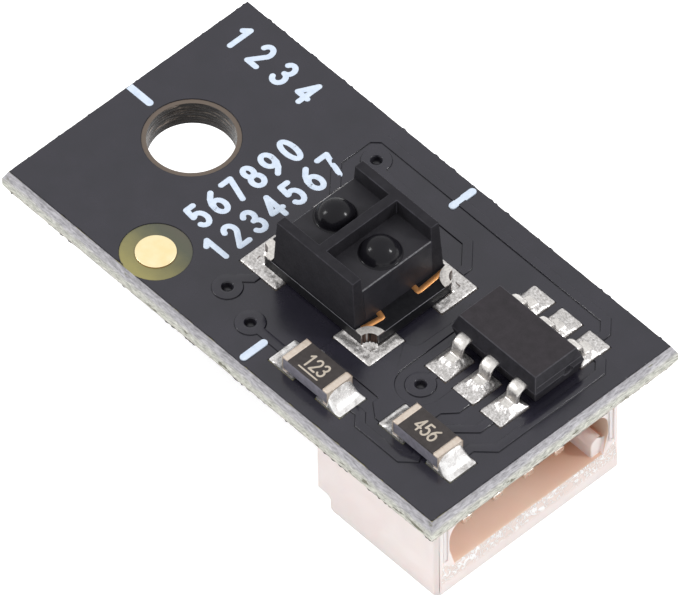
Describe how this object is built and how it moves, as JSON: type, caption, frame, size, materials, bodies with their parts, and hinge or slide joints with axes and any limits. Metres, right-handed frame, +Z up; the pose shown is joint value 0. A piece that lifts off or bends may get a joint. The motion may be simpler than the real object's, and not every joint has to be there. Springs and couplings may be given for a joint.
{
  "type": "reflective optical sensor",
  "caption": "Small black circuit board with a reflective infrared sensor, a chip, resistors, a mounting hole and a side-entry connector underneath.",
  "frame": {"origin": "on the axis of the mounting hole, at the top face of the board's laminate", "axes": "+X along the board, from the mounting hole to the connector's mouth; +Z up, out of the face that carries the sensor"},
  "size_m": [0.0149, 0.008, 0.0058],
  "materials": {
    "laminate": "sawn and snapped glass-epoxy",
    "solder_mask": "satin black lacquer",
    "copper": "etched",
    "gold": "gold plated, satin",
    "print": "printed ink",
    "substrate": "sawn black laminate",
    "terminal": "tin plated",
    "shell": "moulded black polymer",
    "epoxy": "moulded dark epoxy",
    "silicon": "polished",
    "chip_body": "moulded epoxy",
    "tinned_lead": "tin plated",
    "ceramic": "fired ceramic",
    "coat": "fired glaze",
    "cap": "tin plated, satin",
    "nylon": "moulded, slightly translucent",
    "contact_metal": "tin plated",
    "solder": "reflowed, bright"
  },
  "bodies": {
    "root": {"circuit_board": "laminate", "top_copper": "copper", "bottom_copper": "copper", "via_barrels": "copper", "top_solder_mask": "solder_mask", "bottom_solder_mask": "solder_mask", "fiducial": "gold", "silkscreen_ticks": "print", "sensor_substrate": "substrate", "sensor_terminal_1": "terminal", "sensor_terminal_2": "terminal", "sensor_terminal_3": "terminal", "sensor_terminal_4": "terminal", "sensor_traces": "copper", "sensor_housing": "shell", "emitter_lens": "epoxy", "detector_lens": "epoxy", "emitter_die": "silicon", "detector_die": "silicon", "ic_body": "chip_body", "ic_lead_1": "tinned_lead", "ic_lead_2": "tinned_lead", "ic_lead_3": "tinned_lead", "ic_lead_4": "tinned_lead", "ic_lead_5": "tinned_lead", "ic_lead_6": "tinned_lead", "resistor_1_body": "ceramic", "resistor_1_coat": "coat", "resistor_1_cap_left": "cap", "resistor_1_cap_right": "cap", "resistor_2_body": "ceramic", "resistor_2_coat": "coat", "resistor_2_cap_left": "cap", "resistor_2_cap_right": "cap", "connector_housing": "nylon", "contact_1": "contact_metal", "contact_2": "contact_metal", "contact_3": "contact_metal", "contact_4": "contact_metal", "solder_tab_1": "terminal", "solder_tab_2": "terminal", "sensor_solder": "solder", "ic_solder": "solder", "resistor_1_solder": "solder", "resistor_2_solder": "solder", "connector_solder": "solder"}
  },
  "joints": []
}
